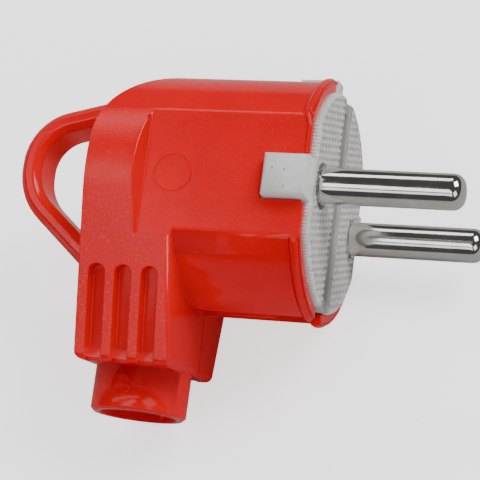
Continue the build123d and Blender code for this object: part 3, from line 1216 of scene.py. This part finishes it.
@dataclass
class ContactPin:
    """One round pin: plated shank, flange in the ceramic and tapped post."""

    name: str
    place: tuple[float, float]
    reach: float = 19.0
    radius: float = 2.4
    tip_round: float = 1.6
    root_radius: float = 2.575
    root_reach: float = 0.2
    flange_front: float = 11.4
    flange_back: float = 13.0
    flange_radius: float = 3.5
    post_end: float = 18.0
    post_radius: float = 3.0
    bore_radius: float = 2.0
    bore_depth: float = 4.6
    root_break: float = 0.05
    flange_break: float = 0.15
    post_break: float = 0.2
    tip_steps: int = 12
    end_share: float = 0.75
    corner_step: float = 0.1
    sharp_angle: float = 40.0

    def tip(self) -> list[tuple[float, float]]:
        """Return the outline of the rounded tip.

        Returns:
            Its points as distance along X and radius, in millimetres.
        """
        flat = self.radius - self.tip_round
        points = [(self.reach, 0.0), (self.reach, flat * self.end_share)]
        for step in range(1, self.tip_steps + 1):
            turn = math.radians(90 * step / self.tip_steps)
            x = self.reach - self.tip_round + self.tip_round * math.cos(turn)
            points.append((x, flat + self.tip_round * math.sin(turn)))
        return points

    def build(self) -> bpy.types.Object:
        """Build the pin as a turned body, with extra points beside its corners for even shading.

        Returns:
            The pin.
        """
        body = [
            (self.reach - self.tip_round - self.corner_step, self.radius),
            (self.root_reach + self.corner_step, self.radius),
            (self.root_reach, self.radius),
            (self.root_reach, self.root_radius - self.root_break),
            (self.root_reach - self.root_break, self.root_radius),
            (self.root_reach - 2 * self.corner_step, self.root_radius),
            (-self.flange_front, self.root_radius),
            (-self.flange_front, self.flange_radius - self.flange_break),
            (-self.flange_front - self.flange_break, self.flange_radius),
            (-self.flange_back, self.flange_radius),
            (-self.flange_back, self.post_radius),
            (-self.post_end + self.post_break, self.post_radius),
            (-self.post_end, self.post_radius - self.post_break),
            (-self.post_end, self.bore_radius),
            (-self.post_end + self.bore_depth, self.bore_radius),
            (-self.post_end + self.bore_depth, 0.0),
        ]
        mesh = Maker.finish_mesh(Maker.lathe(self.tip() + body, self.place), self.name)
        mesh.set_sharp_from_angle(angle=math.radians(self.sharp_angle))
        return Maker.add(f"{self.name}_turned", mesh, NICKEL, Slot.PINS, self.name)


@dataclass
class Contacts:
    """The two pins on their slightly turned line."""

    spacing: float = 19.0
    line_turn: float = 7.0
    line_drop: float = 1.3

    def build(self) -> None:
        """Build both pins."""
        turn = math.radians(self.line_turn)
        for name, side in (("pin_near", 1), ("pin_far", -1)):
            y = side * self.spacing / 2 * math.sin(turn) - self.line_drop
            z = side * self.spacing / 2 * math.cos(turn)
            ContactPin(name, (y, z)).build()


@dataclass
class HiddenHardware:
    """Backing plate, terminals and cable clamp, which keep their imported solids."""

    finishes: dict[str, Finish] = field(
        default_factory=lambda: {
            "backing_plate": BOARD,
            "terminal_plates": BRASS,
            "terminal_screws": STEEL,
            "clamp_nuts": STEEL,
            "clamp_spacers": BRASS,
            "cable_clamp": STEEL,
            "clamp_screws": STEEL,
        }
    )

    def build(self) -> None:
        """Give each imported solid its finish."""
        for name, finish in self.finishes.items():
            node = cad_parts[name]
            node.data.materials.clear()
            node.data.materials.append(finish.material())
            LOG.info("%s: packed solid dressed", name)


@dataclass(frozen=True)
class SoftBox:
    """One soft white light, aimed at the plug. Its place and size are in metres, its power in watts."""

    name: str
    place: tuple[float, float, float]
    size: tuple[float, float]
    power: float

    def build(self, target: Vector) -> None:
        """Hang the light and aim it.

        Args:
            target: The point it faces, in metres.
        """
        data = bpy.data.lights.new(self.name, "AREA")
        data.shape = "RECTANGLE"
        data.size, data.size_y = self.size
        data.energy = self.power
        lamp = bpy.data.objects.new(self.name, data)
        bpy.context.scene.collection.objects.link(lamp)
        lamp.location = Vector(self.place)
        lamp.rotation_mode = "QUATERNION"
        lamp.rotation_quaternion = (target - lamp.location).to_track_quat("-Z", "Y")


@dataclass
class Studio:
    """Floor, world, soft lights and the camera at the photo's viewing angle.

    The camera's sizes are in pixels of the photo, degrees and millimetres, and the floor's in metres.
    The soft lights hang between the directions that the flats, the neck and the back mirror.
    """

    focal_px: float = 1748.451
    image_px: float = 480.0
    sensor: float = 36.0
    distance: float = 238.293
    azimuth: float = 17.649
    tilt: float = 12.936
    roll: float = 7.378
    centre_px: tuple[float, float] = (338.195, 204.247)
    floor_size: float = 6.0
    world_tone: Colour = (0.9, 0.92, 0.95)
    world_strength: float = 0.08
    aim: tuple[float, float, float] = (-12.0, -3.0, 0.0)
    boxes: tuple[SoftBox, ...] = (
        SoftBox("key_box", (0.47, 0.34, 0.62), (0.45, 0.45), 5.4),
        SoftBox("back_box", (-0.34, 0.50, 0.575), (0.85, 0.26), 1.9),
        SoftBox("left_box", (-0.262, -0.095, 0.565), (0.05, 0.05), 0.05),
        SoftBox("front_box", (-0.20, -0.20, 0.535), (0.75, 0.15), 0.95),
        SoftBox("neck_strip", (-0.238, -0.323, 0.479), (0.22, 0.012), 0.04),
        SoftBox("low_box", (-0.20, -0.425, 0.39), (0.75, 0.13), 0.55),
        SoftBox("fill_box", (0.50, -0.45, 0.45), (0.40, 0.40), 1.0),
    )

    def build(self) -> None:
        """Build the studio."""
        self.floor()
        self.world()
        target = PLUG.point(*self.aim)
        for box in self.boxes:
            box.build(target)
        self.camera()

    def floor(self) -> None:
        """Lay the pale floor under the plug's lowest point."""
        level = CAD_BOX[0].z
        half = self.floor_size / 2
        mesh = bpy.data.meshes.new("studio_floor")
        corners = [(-half, -half, level), (half, -half, level), (half, half, level), (-half, half, level)]
        mesh.from_pydata(corners, [], [(0, 1, 2, 3)])
        mesh.materials.append(PaleFloor().material())
        floor = bpy.data.objects.new("studio_floor", mesh)
        bpy.context.scene.collection.objects.link(floor)

    def world(self) -> None:
        """Fill the surroundings with even pale light."""
        world = bpy.data.worlds.new("pale_surroundings")
        bpy.context.scene.world = world
        world.use_nodes = True
        background = world.node_tree.nodes["Background"]
        background.inputs["Color"].default_value = (*self.world_tone, 1.0)
        background.inputs["Strength"].default_value = self.world_strength

    def camera(self) -> None:
        """Set the camera where the photo was taken from."""
        azimuth, tilt, roll = (math.radians(value) for value in (self.azimuth, self.tilt, self.roll))
        outward = math.cos(tilt)
        back = Vector((math.sin(azimuth) * outward, -math.sin(tilt), math.cos(azimuth) * outward))
        level = Vector((math.cos(azimuth), 0.0, -math.sin(azimuth)))
        rise = back.cross(level)
        right = level * math.cos(roll) + rise * math.sin(roll)
        up = rise * math.cos(roll) - level * math.sin(roll)
        half = self.image_px / 2
        across = (self.centre_px[0] - half) / self.focal_px * self.distance
        height = -(self.centre_px[1] - half) / self.focal_px * self.distance
        place = back * self.distance - right * across - up * height
        turn = PLUG.matrix() @ Matrix((right, up, back)).transposed()
        data = bpy.data.cameras.new("photo_camera")
        data.sensor_width = self.sensor
        data.lens = self.focal_px * self.sensor / self.image_px
        data.clip_start, data.clip_end = 0.01, 50.0
        camera = bpy.data.objects.new("photo_camera", data)
        bpy.context.scene.collection.objects.link(camera)
        camera.matrix_world = Matrix.Translation(PLUG.point(*place)) @ turn.to_4x4()
        bpy.context.scene.camera = camera


def main() -> None:
    """Build every sub-assembly and the studio, in order."""
    logging.basicConfig(level=logging.INFO, format="%(name)s: %(message)s")
    housing = Housing()
    housing.build()
    MouldMarks(housing).build()
    RimBead().build()
    Insert().build()
    Contacts().build()
    HiddenHardware().build()
    Studio().build()


if __name__ == "__main__":
    main()
